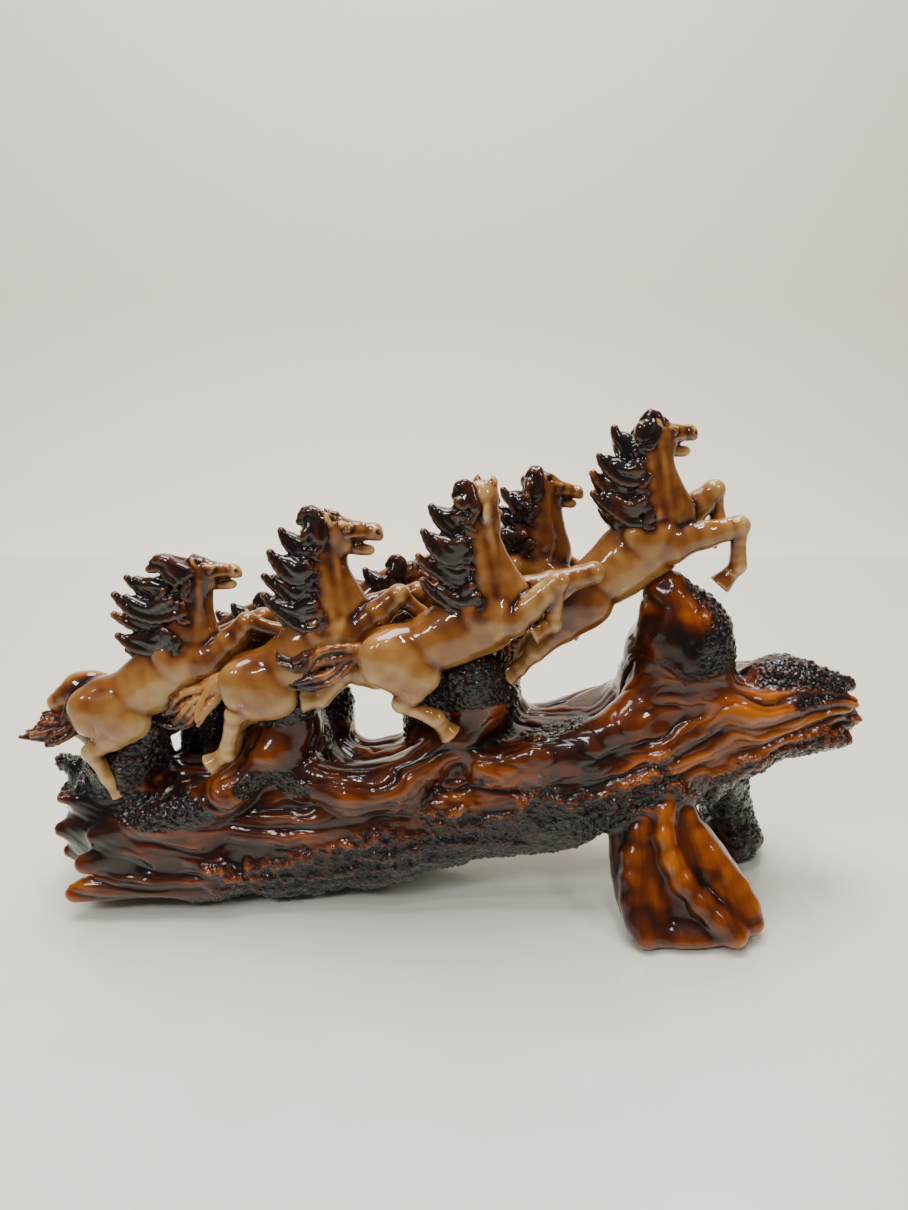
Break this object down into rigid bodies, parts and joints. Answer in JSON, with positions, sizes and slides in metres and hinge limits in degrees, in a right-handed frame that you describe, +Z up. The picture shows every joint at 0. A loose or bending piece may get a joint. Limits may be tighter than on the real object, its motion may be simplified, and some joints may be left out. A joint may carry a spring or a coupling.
{
  "type": "horse statue",
  "caption": "Decorative statue of a herd of galloping horses with flying manes, climbing a gnarled root base behind a rearing leader, in glossy lacquered cast resin.",
  "frame": {"origin": "On the table, below the middle of the piece's bounding box.", "axes": "+X is the way the herd runs and the long side, +Y is away from the viewer, +Z is up."},
  "size_m": [0.5307, 0.1419, 0.3166],
  "materials": {
    "lacquered_coat": "cast resin stained honey and amber under clear gloss lacquer",
    "lacquered_dark_coat": "cast resin stained dark brown under clear gloss lacquer",
    "lacquered_hair": "cast resin stained near black with amber tips under clear gloss lacquer",
    "lacquered_root": "cast resin with amber and brown wood grain under clear gloss lacquer",
    "lacquered_bark": "rough bark texture stained dark brown under clear gloss lacquer",
    "lacquered_rock": "pebbled texture stained near black under clear gloss lacquer",
    "steel": "plain steel rod"
  },
  "bodies": {
    "root": {"root_trunk": "lacquered_root", "left_root": "lacquered_root", "burl_end": "lacquered_bark", "front_foot": "lacquered_root", "back_foot": "lacquered_bark", "rock_1": "lacquered_rock", "rock_2": "lacquered_rock", "rock_3": "lacquered_rock", "rock_4": "lacquered_rock", "rock_5": "lacquered_rock", "rock_6": "lacquered_rock", "rock_7": "lacquered_rock", "horse_1_body": "lacquered_coat", "horse_1_forelegs": "lacquered_coat", "horse_1_mane": "lacquered_hair", "horse_1_tail": "lacquered_hair", "horse_2_body": "lacquered_coat", "horse_2_forelegs": "lacquered_coat", "horse_2_mane": "lacquered_hair", "horse_2_tail": "lacquered_hair", "horse_3_body": "lacquered_coat", "horse_3_forelegs": "lacquered_coat", "horse_3_mane": "lacquered_hair", "horse_3_tail": "lacquered_hair", "horse_4_body": "lacquered_coat", "horse_4_forelegs": "lacquered_coat", "horse_4_mane": "lacquered_hair", "horse_4_tail": "lacquered_hair", "horse_5_body": "lacquered_dark_coat", "horse_5_forelegs": "lacquered_dark_coat", "horse_5_mane": "lacquered_hair", "horse_5_tail": "lacquered_hair", "horse_6_body": "lacquered_dark_coat", "horse_6_forelegs": "lacquered_dark_coat", "horse_6_mane": "lacquered_hair", "horse_6_tail": "lacquered_hair", "horse_7_body": "lacquered_dark_coat", "horse_7_forelegs": "lacquered_dark_coat", "horse_7_mane": "lacquered_hair", "horse_7_tail": "lacquered_hair", "dowel_pins": "steel"}
  },
  "joints": []
}
